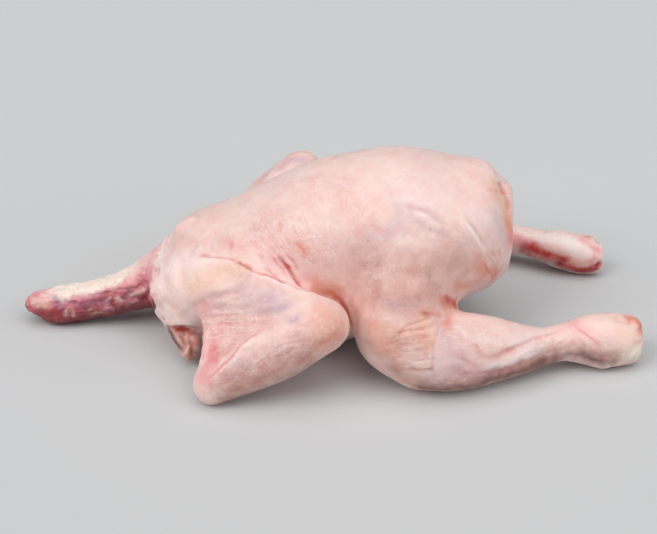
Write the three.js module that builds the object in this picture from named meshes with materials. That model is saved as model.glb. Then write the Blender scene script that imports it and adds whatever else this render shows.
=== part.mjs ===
// A whole raw hen, plucked and drawn, with its skinned neck left on and its feet cut off at the hocks.
// It lies on its breast, back up, with the legs stretched out behind and the wings folded at its sides.
//
// The bird is one piece, so it is one closed solid. Each region of the body is a small distance function
// in millimetres: the trunk is lofted through named sections, the limbs are chains of tapering balls, and
// a web of skin fills each folded wing. Soft unions blend the regions as skin does, and the plane that the
// bird rests on cuts them, which gives the breast, knees, hocks, wrists and neck their flat spots. The zero
// surface of the whole is meshed by surface nets.
//
// Axes: the neck points to -X and the tail to +X, +Z is up, and the bird's left side faces -Y.

import * as THREE from 'three';

// ---------------------------------------------------------------- driving dimensions, in millimetres

const CELL = 6.5;                  // spacing of the meshing grid
const SPACE = { low: [-222, -122, -4], high: [222, 126, 136] };
const RELAX_PASSES = 4;            // how often the mesh is evened out
const REST_CUT = 2;                // height of the plane that the flesh is pressed flat against

// Sections of the trunk from the neck to the tail: station, height of the middle, half width, half height.
const TRUNK = [
  { x: -110, z: 35, wide: 30, high: 23 },
  { x: -103, z: 37, wide: 43, high: 33 },
  { x: -95, z: 39, wide: 49, high: 36 },
  { x: -70, z: 43, wide: 56, high: 42 },
  { x: -45, z: 49.5, wide: 58, high: 48.5 },
  { x: -15, z: 58.5, wide: 60, high: 55.5 },
  { x: 18, z: 64, wide: 61, high: 58.5 },
  { x: 48, z: 70, wide: 60, high: 56.5 },
  { x: 80, z: 74, wide: 56, high: 46.5 },
  { x: 102, z: 75, wide: 46, high: 43 },
  { x: 109.5, z: 73.5, wide: 39, high: 39.5 },
  { x: 114, z: 72.5, wide: 32, high: 34 },
];
const TRUNK_POINTS = 120;          // stations that the smooth outline is read at
const TRUNK_END = 6;               // rounding of the trunk's two ends
const BREAST = { at: [-27, 27, 33], size: [68, 34, 33] };

const NECK = [
  { at: [-97, 0, 42.5], r: 22 },
  { at: [-115, -1, 34], r: 19 },
  { at: [-129, -2, 28.5], r: 16 },
  { at: [-145, -3, 23], r: 14.2 },
  { at: [-163, -3.5, 18.5], r: 13.2 },
  { at: [-186, -4, 13.8], r: 13.6 },
  { at: [-200, -4, 12.5], r: 11.5 },
];

// Legs: hip and knee, then calf, shank and hock. The right leg lies a little wider, with a slimmer hock.
const LEFT_LEG = {
  thigh: [
    { at: [60, -26, 72], r: 36 },
    { at: [48, -52, 53], r: 31 },
    { at: [46, -70, 36.5], r: 28.3 },
  ],
  shin: [
    { at: [59, -78, 26.5], r: 25.2 },
    { at: [78, -77, 25.5], r: 25.5 },
    { at: [99, -73, 23.5], r: 22 },
    { at: [122, -68, 20.8], r: 16.2 },
    { at: [140, -63, 20], r: 12.3 },
    { at: [155, -59, 20.5], r: 12.6 },
    { at: [169, -56, 19.5], r: 16.8 },
    { at: [183, -54, 18.3], r: 18.2 },
    { at: [197, -51, 17], r: 16.2 },
  ],
  hockEnd: 204,
};
const RIGHT_LEG = {
  thigh: [
    { at: [60, 26, 70], r: 35 },
    { at: [58, 54, 54], r: 33 },
    { at: [54, 74, 37], r: 29.5 },
  ],
  shin: [
    { at: [66, 83, 27.5], r: 26 },
    { at: [84, 86, 26], r: 24.5 },
    { at: [106, 86, 23], r: 20.5 },
    { at: [124, 84, 20.8], r: 14.8 },
    { at: [140, 80, 20], r: 11.3 },
    { at: [160, 73, 19], r: 11.6 },
    { at: [176, 67, 17.5], r: 14.5 },
    { at: [188, 64, 16], r: 14.8 },
    { at: [197, 62, 15], r: 13 },
  ],
  hockEnd: 205,
};

// Wings: the left one has slumped onto the table, the right one is still folded high against the back.
// The hand is folded back along the inside of the forearm, so its tip comes close to the elbow.
const LEFT_WING = {
  shoulder: [-74, -44, 54],
  elbow: [-4, -87.5, 51.5],
  wrist: [-72, -97, 13.5],
  tip: [-30, -74, 21],
  armGirth: 18,
};
const RIGHT_WING = {
  shoulder: [-76, 37, 46],
  elbow: [-20, 80, 75],
  wrist: [-72, 92, 17],
  tip: [-40, 77, 42],
  armGirth: 14,
};
const WING_GIRTH = { shoulder: 19, elbow: 15.5, forearm: 19.5, wrist: 13, hand: 10.5, tip: 8.5 };
const FOREARM_FULLEST = 0.4;       // where the forearm is thickest, as a share of the way from the elbow
// The skin of a wing is stretched over its bones, so the web lies this far outside their middle lines.
const WEB = { lift: 8, wristLift: 1, half: 5.5 };

// Skin and flesh gathered at the root of each wing.
const LEFT_PAD = { at: [-91, -31, 42], r: 26 };
const RIGHT_PAD = { at: [-86, 30, 37], r: 24 };

const TAIL = { at: [106, 0, 96], size: [15, 16, 11] };
const VENT = { at: [123, -1, 73], size: [15, 11, 20] };

// The end of the neck's loose skin, hanging down in front of the left wing.
const FLAP = [
  { at: [-98, -44, 28], r: 10 },
  { at: [-93, -52, 17], r: 8.5 },
  { at: [-90.5, -57, 9.5], r: 6.5 },
];

// How far each union spreads: the width of the skin's fillet there.
const BLEND = {
  hip: 18,
  knee: 5,
  limb: 7,
  hand: 3.5,
  breast: 12,
  shoulder: 16,
  wing: 8,
  web: 9,
  neck: 5,
  tail: 8,
  vent: 5,
};

const SPAN_STEPS = 5;              // straight stretches between two balls of a limb
const GIRTH_SPACING = 10;          // how far apart the balls count as standing where their girth is eased

// ---------------------------------------------------------------- distance functions

const lerp = (a, b, t) => a + (b - a) * t;
const clamp = (v, low, high) => Math.min(high, Math.max(low, v));
const minus = (a, b) => [a[0] - b[0], a[1] - b[1], a[2] - b[2]];
const dot = (a, b) => a[0] * b[0] + a[1] * b[1] + a[2] * b[2];
const between = (a, b, t) => a.map((v, i) => lerp(v, b[i], t));
const vector = (at) => new THREE.Vector3(...at);

// Union with a fillet about k wide.
function blend(a, b, k) {
  const h = Math.max(k - Math.abs(a - b), 0) / k;
  return Math.min(a, b) - (h * h * k) / 4;
}

// What is left of a once b is taken away, with a rounded rim about k wide.
const carve = (a, b, k) => -blend(-a, b, k);

const ball = (p, { at, r }) => Math.hypot(...minus(p, at)) - r;

// Distance to a stretch between two balls, whose radius eases from one to the other.
function taper(p, a, b) {
  const along = minus(b.at, a.at);
  const from = minus(p, a.at);
  const t = clamp(dot(from, along) / dot(along, along), 0, 1);
  const gap = Math.hypot(from[0] - t * along[0], from[1] - t * along[1], from[2] - t * along[2]);
  return gap - lerp(a.r, b.r, t);
}

// A limb through the given balls: many short tapers along one smooth curve.
function limb(balls) {
  const path = new THREE.CatmullRomCurve3(balls.map((b) => vector(b.at)));
  const girth = new THREE.CatmullRomCurve3(balls.map((b, i) => vector([GIRTH_SPACING * i, b.r, 0])));
  const steps = (balls.length - 1) * SPAN_STEPS;
  return Array.from({ length: steps + 1 }, (_, i) => ({
    at: path.getPoint(i / steps).toArray(),
    r: girth.getPoint(i / steps).y,
  }));
}
function chain(p, balls) {
  let d = Infinity;
  for (let i = 1; i < balls.length; i += 1) d = Math.min(d, taper(p, balls[i - 1], balls[i]));
  return d;
}

function ellipsoid(p, { at, size }) {
  const q = minus(p, at);
  const k0 = Math.hypot(q[0] / size[0], q[1] / size[1], q[2] / size[2]);
  const k1 = Math.hypot(q[0] / size[0] ** 2, q[1] / size[1] ** 2, q[2] / size[2] ** 2);
  return k1 > 0 ? (k0 * (k0 - 1)) / k1 : -Math.min(...size);
}

// Distance to a flat triangle of skin of the given half thickness.
const query = new THREE.Vector3();
const nearest = new THREE.Vector3();
function web(p, triangle, half) {
  query.set(p[0], p[1], p[2]);
  triangle.closestPointToPoint(query, nearest);
  return query.distanceTo(nearest) - half;
}

// The trunk: an ellipse whose size and height run smoothly through the sections.
const outline = (key) =>
  new THREE.CatmullRomCurve3(TRUNK.map((section) => vector([section.x, section[key], 0])))
    .getPoints(TRUNK_POINTS);
const trunkOutlines = { z: outline('z'), wide: outline('wide'), high: outline('high') };
function sectionValue(key, x) {
  const points = trunkOutlines[key];
  let i = 1;
  while (i < points.length - 1 && points[i].x < x) i += 1;
  const t = clamp((x - points[i - 1].x) / (points[i].x - points[i - 1].x), 0, 1);
  return lerp(points[i - 1].y, points[i].y, t);
}
function trunk(p) {
  const x = clamp(p[0], TRUNK[0].x, TRUNK[TRUNK.length - 1].x);
  const wide = sectionValue('wide', x);
  const high = sectionValue('high', x);
  const z = p[2] - sectionValue('z', x);
  const out = Math.hypot(p[1] / wide, z / high);
  const around = out > 0 ? Math.hypot(p[1], z) * (1 - 1 / out) : -Math.min(wide, high);
  const past = Math.abs(p[0] - x);
  return past > 0 ? Math.hypot(past, Math.max(around + TRUNK_END, 0)) - TRUNK_END : around;
}

// ---------------------------------------------------------------- regions of the bird

const neck = limb(NECK);
const flap = limb(FLAP);
const breasts = [-1, 1].map((side) => {
  const [x, y, z] = BREAST.at;
  return { at: [x, side * y, z], size: BREAST.size };
});
const legs = [LEFT_LEG, RIGHT_LEG].map(({ thigh, shin, hockEnd }) => ({
  thigh: limb(thigh),
  shin: limb(shin),
  hockEnd,
}));
const wings = [LEFT_WING, RIGHT_WING].map(foldedWing);

function foldedWing({ shoulder, elbow, wrist, tip, armGirth }) {
  const middle = between(elbow, wrist, FOREARM_FULLEST);
  // The way out of the wing's plane, away from the body.
  const out = vector(minus(elbow, shoulder)).cross(vector(minus(wrist, shoulder))).normalize();
  if (out.z < 0) out.negate();
  const lifted = (at, lift) => vector(at).addScaledVector(out, lift);
  return {
    arm: limb([
      { at: shoulder, r: WING_GIRTH.shoulder },
      { at: between(shoulder, elbow, 0.5), r: armGirth },
      { at: elbow, r: WING_GIRTH.elbow },
    ]),
    forearm: limb([
      { at: elbow, r: WING_GIRTH.elbow },
      { at: middle, r: WING_GIRTH.forearm },
      { at: wrist, r: WING_GIRTH.wrist },
    ]),
    hand: [{ at: wrist, r: WING_GIRTH.hand }, { at: tip, r: WING_GIRTH.tip }],
    web: new THREE.Triangle(
      lifted(shoulder, WEB.lift),
      lifted(middle, WEB.lift),
      lifted(wrist, WEB.wristLift),
    ),
  };
}

function leg(p, { thigh, shin, hockEnd }) {
  const cutShin = Math.max(chain(p, shin), p[0] - hockEnd);
  return blend(chain(p, thigh), cutShin, BLEND.limb);
}

function wing(p, folded) {
  let d = blend(chain(p, folded.arm), chain(p, folded.forearm), BLEND.limb);
  d = blend(d, web(p, folded.web, WEB.half), BLEND.web);
  return blend(d, chain(p, folded.hand), BLEND.hand);
}

function hen(p) {
  let d = trunk(p);
  for (const muscle of breasts) d = blend(d, ellipsoid(p, muscle), BLEND.breast);
  for (const pad of [LEFT_PAD, RIGHT_PAD]) d = blend(d, ball(p, pad), BLEND.shoulder);
  for (const { thigh } of legs) d = blend(d, chain(p, thigh), BLEND.hip);
  for (const stretched of legs) d = blend(d, leg(p, stretched), BLEND.knee);
  for (const folded of wings) d = blend(d, wing(p, folded), BLEND.wing);
  d = blend(d, chain(p, neck), BLEND.neck);
  d = blend(d, chain(p, flap), BLEND.neck);
  d = blend(d, ellipsoid(p, TAIL), BLEND.tail);
  d = carve(d, ellipsoid(p, VENT), BLEND.vent);
  return Math.max(d, REST_CUT - p[2]);
}

// ---------------------------------------------------------------- meshing

// The twelve edges of a grid cell, as an axis and the corner that each starts from, and the rings of
// corners and edges round its six faces.
const across = (axis) => [(axis + 1) % 3, (axis + 2) % 3];
const corner = (axis, along, s, t) => {
  const [u, v] = across(axis);
  const at = [0, 0, 0];
  at[axis] = along;
  at[u] = s;
  at[v] = t;
  return at;
};
const CELL_EDGES = [0, 1, 2].flatMap((axis) =>
  [0, 1].flatMap((t) => [0, 1].map((s) => ({ axis, at: corner(axis, 0, s, t) }))));
const edgeNumber = (axis, s, t) => axis * 4 + t * 2 + s;
const edgeBetween = (a, b) => {
  const axis = a.findIndex((value, q) => value !== b[q]);
  const [u, v] = across(axis);
  return edgeNumber(axis, a[u], a[v]);
};
const CELL_FACES = [0, 1, 2].flatMap((axis) => [0, 1].map((side) => {
  const ring = [[0, 0], [1, 0], [1, 1], [0, 1]].map(([s, t]) => corner(axis, side, s, t));
  return ring.map((at, k) => ({ at, edge: edgeBetween(at, ring[(k + 1) % 4]) }));
}));

// Surface nets: one vertex for each sheet of the surface that passes through a grid cell, moved onto the
// surface itself, and one quad round each grid edge that the surface crosses.
function surfaceNet(field, low, high, cell) {
  const count = [0, 1, 2].map((a) => Math.ceil((high[a] - low[a]) / cell) + 1);
  const stride = [1, count[0], count[0] * count[1]];
  const place = (at) => at.map((v, a) => low[a] + v * cell);
  const values = new Float64Array(count[0] * count[1] * count[2]);
  const each = (size, visit) => {
    for (let k = 0; k < size[2]; k += 1)
      for (let j = 0; j < size[1]; j += 1)
        for (let i = 0; i < size[0]; i += 1) visit([i, j, k], dot([i, j, k], stride));
  };
  each(count, (here, n) => { values[n] = field(place(here)); });

  const vertexOf = new Map();
  const positions = [];
  const vertexKey = (n, edge) => n * CELL_EDGES.length + edge;
  each(count.map((c) => c - 1), (here, n) => {
    const crossings = new Map();
    CELL_EDGES.forEach(({ axis, at }, edge) => {
      const from = n + dot(at, stride);
      const [a, b] = [values[from], values[from + stride[axis]]];
      if ((a < 0) === (b < 0)) return;
      const point = [...at];
      point[axis] = a / (a - b);
      crossings.set(edge, point);
    });
    for (const sheet of sheets(crossings, (at) => values[n + dot(at, stride)] < 0)) {
      const middle = here.map((v, q) => v + mean(sheet.map((edge) => crossings.get(edge)[q])));
      sheet.forEach((edge) => vertexOf.set(vertexKey(n, edge), positions.length));
      positions.push(onSurface(field, place(middle), cell));
    }
  });

  const quads = [];
  each(count, (here, n) => {
    for (let axis = 0; axis < 3; axis += 1) {
      const [u, v] = across(axis);
      if (here[axis] + 1 >= count[axis] || here[u] < 1 || here[v] < 1) continue;
      const [a, b] = [values[n] < 0, values[n + stride[axis]] < 0];
      if (a === b) continue;
      const ring = [[1, 1], [0, 1], [0, 0], [1, 0]].map(([s, t]) =>
        vertexOf.get(vertexKey(n - s * stride[u] - t * stride[v], edgeNumber(axis, s, t))));
      if (b) ring.reverse();
      quads.push(ring);
    }
  });
  for (let pass = 0; pass < RELAX_PASSES; pass += 1) relax(field, positions, quads, cell);
  return { positions, triangles: quads.flatMap((ring) => splitQuad(positions, ring)) };
}

const mean = (values) => values.reduce((sum, v) => sum + v, 0) / values.length;

// The crossed edges of a cell, grouped into the sheets of surface that join them across the cell's faces.
// Where a face is crossed four times, each corner inside the solid is cut off on its own.
function sheets(crossings, inside) {
  const group = new Map([...crossings.keys()].map((edge) => [edge, edge]));
  const join = (a, b) => {
    const [from, to] = [group.get(a), group.get(b)];
    for (const [edge, name] of group) if (name === from) group.set(edge, to);
  };
  for (const face of CELL_FACES) {
    const crossed = face.filter(({ edge }) => crossings.has(edge));
    if (crossed.length === 2) join(crossed[0].edge, crossed[1].edge);
    if (crossed.length === 4)
      face.forEach(({ at, edge }, k) => { if (inside(at)) join(edge, face[(k + 3) % 4].edge); });
  }
  const names = [...new Set(group.values())];
  return names.map((name) => [...group.keys()].filter((edge) => group.get(edge) === name));
}

// A few Newton steps towards the surface, never far from where the vertex started.
const NEWTON = { steps: 4, probe: 0.05, reach: 0.5 };     // probe and reach as shares of a cell
function onSurface(field, start, cell) {
  const h = cell * NEWTON.probe;
  let p = [...start];
  for (let step = 0; step < NEWTON.steps; step += 1) {
    const d = field(p);
    const slope = [0, 1, 2].map((a) => {
      const q = [...p];
      q[a] += h;
      return (field(q) - d) / h;
    });
    const steep = dot(slope, slope);
    if (steep === 0) break;
    p = p.map((v, a) => v - (d * slope[a]) / steep);
  }
  return Math.hypot(...minus(p, start)) < cell * NEWTON.reach ? p : start;
}

// Evens out the net: each vertex goes half way to the mean of its neighbours and back onto the surface.
function relax(field, positions, quads, cell) {
  const sums = positions.map(() => [0, 0, 0]);
  const counts = positions.map(() => 0);
  for (const ring of quads)
    ring.forEach((from, k) => {
      const to = positions[ring[(k + 1) % 4]];
      to.forEach((v, q) => { sums[from][q] += v; });
      counts[from] += 1;
    });
  sums.forEach((sum, v) => {
    const middle = sum.map((value) => value / counts[v]);
    positions[v] = onSurface(field, between(positions[v], middle, 0.5), cell);
  });
}

// Two triangles across the shorter diagonal.
function splitQuad(positions, [a, b, c, d]) {
  const span = (m, n) => Math.hypot(...minus(positions[m], positions[n]));
  return span(a, c) < span(b, d) ? [a, b, c, a, c, d] : [a, b, d, b, c, d];
}

// ---------------------------------------------------------------- solid

const net = surfaceNet(hen, SPACE.low, SPACE.high, CELL);
const geometry = new THREE.BufferGeometry();
geometry.setAttribute('position', new THREE.Float32BufferAttribute(net.positions.flat(), 3));
geometry.setIndex(net.triangles);

// The origin goes to the middle of the underside.
geometry.computeBoundingBox();
const box = geometry.boundingBox;
geometry.translate(-(box.min.x + box.max.x) / 2, -(box.min.y + box.max.y) / 2, -box.min.z);
geometry.computeVertexNormals();

const skin = new THREE.MeshStandardMaterial({ color: 0xf0d0c8, roughness: 0.45, metalness: 0 });
const carcass = new THREE.Mesh(geometry, skin);
carcass.name = 'carcass';

const bird = new THREE.Group();
bird.add(carcass);

export default bird;
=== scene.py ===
"""A whole raw hen, plucked and drawn: skin, bare neck, folded wings and legs cut at the hocks.

The bird lies on its breast. The CAD solid gives its forms. The skin is rebuilt from it with fine even faces,
and folds, wrinkles and follicles are then sculpted into it. Sculpting works in millimetres, and the scene is
in metres. Folds on the near side are given by where they run in the camera's own frame, and are dropped
along the line of sight onto the skin. The far side carries the same folds over by its own bones.
"""
import math
import random

import bmesh
import bpy
import numpy as np
from mathutils import Matrix, Vector, noise
from mathutils.bvhtree import BVHTree
from mathutils.kdtree import KDTree


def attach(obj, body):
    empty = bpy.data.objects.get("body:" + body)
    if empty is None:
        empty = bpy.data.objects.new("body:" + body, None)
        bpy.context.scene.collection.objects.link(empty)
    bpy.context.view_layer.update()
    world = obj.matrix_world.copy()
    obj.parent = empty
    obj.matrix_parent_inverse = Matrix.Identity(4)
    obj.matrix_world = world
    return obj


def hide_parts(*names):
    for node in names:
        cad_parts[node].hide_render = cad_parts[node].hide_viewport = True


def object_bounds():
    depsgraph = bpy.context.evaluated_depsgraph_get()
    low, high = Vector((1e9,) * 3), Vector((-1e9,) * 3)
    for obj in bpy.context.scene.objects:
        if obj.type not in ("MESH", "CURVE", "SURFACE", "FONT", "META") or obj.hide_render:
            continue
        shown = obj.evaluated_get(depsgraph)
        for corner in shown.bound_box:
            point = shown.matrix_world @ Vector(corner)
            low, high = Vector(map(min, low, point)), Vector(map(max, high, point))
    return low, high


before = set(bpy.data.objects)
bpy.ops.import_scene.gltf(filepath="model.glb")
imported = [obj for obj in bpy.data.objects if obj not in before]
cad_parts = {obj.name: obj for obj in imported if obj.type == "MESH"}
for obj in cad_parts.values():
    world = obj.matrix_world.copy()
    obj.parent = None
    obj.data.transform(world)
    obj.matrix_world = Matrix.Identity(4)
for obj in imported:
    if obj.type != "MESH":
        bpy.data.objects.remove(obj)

CAD_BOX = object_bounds()
MM = 0.001

# ------------------------------------------------------------------ view

VIEW_WIDTH = 657
VIEW_HEIGHT = 534
LENS_MM = 60
SENSOR_MM = 36
FOCAL = VIEW_WIDTH * LENS_MM / SENSOR_MM
VIEW_TARGET = Vector((0.003145, 0.00033, 0.040))
VIEW_DISTANCE = 0.75
VIEW_ELEVATION = math.radians(30)
VIEW_BACK = Vector((0, -math.cos(VIEW_ELEVATION), math.sin(VIEW_ELEVATION)))
VIEW_RIGHT = Vector((1, 0, 0))
VIEW_UP = VIEW_BACK.cross(VIEW_RIGHT)
EYE = VIEW_TARGET + VIEW_BACK * VIEW_DISTANCE

# ------------------------------------------------------------------ sizes, in millimetres

SKIN_FACE = 1.05               # side of the skin's faces while it is sculpted
SKIN_EASING = 12               # how many times the rebuilt skin is smoothed
SKIN_TRIANGLES = 192000        # what the sculpted skin is thinned to
NECK_FACE = 0.65               # side of the bare neck's faces
NECK_EASING = 8                # how many times it is smoothed
NECK_ROOT = -113.0             # where the bare neck comes out of the skin
NECK_STUMP = 9.0               # how much of the neck the skin's own form keeps
NECK_HIDDEN = 14.0             # how far the bare neck's root goes on inside the body
RAGGED = 0.35                  # how unevenly wide folds and stains are
RAGGED_SIZE = 3.5              # and over what length that changes
PATCHY = 0.45                  # how unevenly deep they are
PATCHY_SIZE = 8.0
WANDER = ((11.0, 1.3), (4.5, 0.6))     # size and reach of the swings that a fold makes along its way
LIP_REACH = 4.0                # how far a lifted edge reaches, in widths of its fold
FADED = 2.4                    # where a fold or stain has faded out, in its widths or spreads
FLOOR_FADE = (0.3, 5.0)        # rises fade in between these heights over the floor

# Bones of the near side and of the far side. The wing's marks are shoulder, elbow and wrist, the leg's are
# hip, knee and hock.
WINGS = {
    "near": ((-70.9, -43.7, 52.0), (-0.9, -87.2, 49.5), (-68.9, -96.7, 11.5)),
    "far": ((-72.9, 37.3, 44.0), (-16.9, 80.3, 73.0), (-68.9, 92.3, 15.0)),
}
LEGS = {
    "near": ((63.1, -25.7, 70.0), (49.1, -69.7, 34.5), (172.1, -55.7, 17.5)),
    "far": ((63.1, 26.3, 68.0), (57.1, 74.3, 35.0), (172.1, 69.3, 16.0)),
}

# ------------------------------------------------------------------ colours, as seen on a screen


def shade(red, green, blue):
    """A colour of 0 to 255 a channel as Blender's linear colour."""
    levels = [c / 255 for c in (red, green, blue)]
    linear = [c / 12.92 if c <= 0.04045 else ((c + 0.055) / 1.055) ** 2.4 for c in levels]
    return (*linear, 1.0)


PALE_SKIN = shade(244, 216, 211)
PEACH_SKIN = shade(245, 212, 201)
FLUSHED_SKIN = shade(238, 184, 180)
# painted shade laid in the skin's hollows
HOLLOW_SHADE = shade(220, 140, 132)
STAINS = {
    "tan": shade(204, 156, 142),
    "yolk": shade(244, 200, 166),
    "pale": shade(252, 234, 229),
    "plum": shade(192, 162, 178),
    "rose": shade(230, 144, 146),
    "amber": shade(224, 126, 88),
    # painted shade: the next colour darkens undersides and edges that lie in shade
    "painted_shade": shade(120, 74, 66),
    "deep": shade(190, 50, 40),
    "raw": shade(116, 10, 12),
    "gristle": shade(240, 228, 212),
}
NECK_MEAT = shade(200, 92, 102)
# dark meat, also laid as painted shade in the neck's hollows and on its underside
NECK_DARK_MEAT_AND_SHADE = shade(126, 32, 40)
NECK_FILM = shade(226, 172, 176)
NECK_STAINS = {
    "rose": shade(240, 164, 172),
    "fat": shade(255, 234, 222),
    "plum": shade(138, 88, 118),
    "blood": shade(160, 34, 34),
    "bead": shade(232, 190, 170),
}
FLOOR_GREY = shade(202, 203, 204)

# ------------------------------------------------------------------ folds, stains, painted shade and painted light
#
# A stroke runs along a path in the camera's frame. It rises or sinks the skin by that many millimetres over
# its width, lifts the skin on its right-hand side by its lip, and paints one stain over its spread. Some of
# these paints are painted shade or painted light, as marked below.


def stroke(path, rise=0.0, wide=1.2, lip=0.0, stain=None, amount=0.5, spread=None, far=True):
    return {
        "path": path,
        "rise": rise,
        "wide": wide,
        "lip": lip,
        "stain": stain,
        "amount": amount,
        "spread": spread or 1.3 * wide,
        "far": far,
    }


def patch(path, stain, amount, spread, far=True):
    """A stain alone, as wide as its spread."""
    return stroke(path, stain=stain, amount=amount, spread=spread, far=far)


FAN_STRAY = 0.8                # how far a pleat's points stray, in the camera's frame
FAN_UNEVEN = (0.45, 1.2)       # the pleats' least and greatest share of their depth


def fan(guides, count, rise, **fold):
    """Uneven strokes that lead over from the first of three guide paths to the last."""
    draw = random.Random(count)
    first, middle, last = (np.array(path, float) for path in guides)
    pleats = []
    for t in np.linspace(0, 1, count):
        path = first * (1 - t) * (1 - 2 * t) + middle * 4 * t * (1 - t) + last * t * (2 * t - 1)
        strayed = [tuple(c + draw.uniform(-FAN_STRAY, FAN_STRAY) for c in at) for at in path]
        whole = draw.randrange(3)
        kept = strayed if whole else strayed[draw.randrange(2):][:len(strayed) - 1]
        pleats.append(stroke(kept, rise=rise * draw.uniform(*FAN_UNEVEN), **fold))
    return pleats


WING_STROKES = [
    # the wing's upper edge, lying over the flank
    stroke([(194, 256), (205, 257.5), (218, 258), (231, 260), (240, 264)],
           -0.5, 1.3, 1.0, "rose", 0.22, 1.5),
    stroke([(236, 261), (249, 269), (259, 273.5), (270, 277.5),
            (281, 282), (292, 286), (302, 291), (313, 293.5)],
           -1.7, 1.4, 1.5, "rose", 0.3, 1.8),
    patch([(238, 262), (244, 265), (250, 268)], "deep", 0.6, 1.3),
    patch([(265, 275), (274, 278), (284, 282)], "deep", 0.45, 1.4),
    # the cleft behind the elbow
    stroke([(316, 289), (325, 291), (335, 297), (343, 306), (349, 316), (352, 328)],
           -0.6, 2.2, 0.0, "amber", 0.6, 3.4, far=False),
    patch([(334, 297), (341, 303), (347, 312), (350, 322)], "deep", 0.5, 1.6, far=False),
    patch([(352, 304), (357, 316), (358, 330)], "amber", 0.3, 3.4, far=False),
    # upper arm and the hollow under it
    stroke([(250, 276), (243, 282), (235, 288), (222, 294), (208, 298), (196, 303), (186, 311)],
           -0.6, 2.6, 0.5, "plum", 0.35, 3.4),
    stroke([(190, 309), (200, 305), (212, 305), (224, 307), (240, 309), (255, 312), (270, 313), (284, 311)],
           -0.55, 2.6, 0.0, "plum", 0.32, 3.6),
    *fan([[(190, 306), (212, 297), (236, 286), (254, 277)],
          [(198, 312), (222, 304), (246, 298), (266, 291)],
          [(206, 320), (230, 316), (256, 312), (282, 306)]],
         8, rise=-0.34, wide=1.1, stain="plum", amount=0.16, spread=1.4),
    patch([(198, 309), (208, 306)], "rose", 0.35, 4.0),
    patch([(262, 309), (274, 309), (286, 306)], "plum", 0.6, 4.4),
    patch([(242, 290), (256, 296), (272, 301)], "plum", 0.48, 9.0),
    patch([(190, 286), (214, 276), (240, 271)], "yolk", 0.36, 12.0),
    stroke([(196, 282), (214, 275), (232, 272)], 0.9, 8.0),
    patch([(168, 270), (182, 262), (200, 262)], "pale", 0.6, 9.0),
    # small marks near the elbow
    stroke([(288, 318), (293, 320), (298, 317)], -0.35, 1.4, 0.0, "plum", 0.55, 3.0),
    stroke([(300, 325), (306, 325), (313, 322)], -0.3, 1.4, 0.0, "rose", 0.3, 2.0),
    # web between upper arm and forearm
    *fan([[(200, 315), (225, 314), (250, 317), (272, 316)],
          [(203, 337), (225, 333), (245, 331), (262, 324)],
          [(209, 368), (218, 360), (228, 352), (238, 343)]],
         13, rise=-0.42, wide=0.9, stain="rose", amount=0.12, spread=1.0),
    stroke([(203, 382), (212, 376), (220, 368), (229, 360), (236, 352), (244, 343), (253, 336), (261, 330)],
           -1.0, 1.3, 1.5, "rose", 0.5, 1.7),
    patch([(222, 365), (231, 356), (240, 346)], "rose", 0.35, 2.4),
    patch([(211, 348), (211, 360), (206, 374)], "rose", 0.85, 7.5),
    stroke([(207, 328), (206, 342), (204, 356), (200, 370)], 2.0, 3.0, 0.0, "pale", 0.3, 2.4),
    # forearm
    *fan([[(312, 338), (292, 345), (268, 353), (250, 361), (236, 370)],
          [(318, 350), (292, 360), (268, 369), (248, 378), (230, 390)],
          [(306, 367), (284, 377), (262, 385), (244, 391), (222, 399)]],
         11, rise=-0.32, wide=1.1, stain="tan", amount=0.15, spread=1.3),
    patch([(322, 312), (336, 320), (338, 332), (328, 340)], "amber", 0.42, 8.0),
    patch([(312, 325), (328, 333), (318, 347)], "yolk", 0.3, 8.0),
    # painted shade along the forearm's lower side, in a dark brown and in tan
    patch([(226, 401), (256, 393), (290, 378), (322, 358)], "painted_shade", 0.5, 6.4),
    patch([(236, 390), (270, 376), (304, 360)], "tan", 0.75, 10.0),
    patch([(232, 372), (262, 358), (296, 342)], "plum", 0.22, 9.0),
    patch([(199, 386), (209, 395)], "pale", 0.3, 7.0),
]

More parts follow.
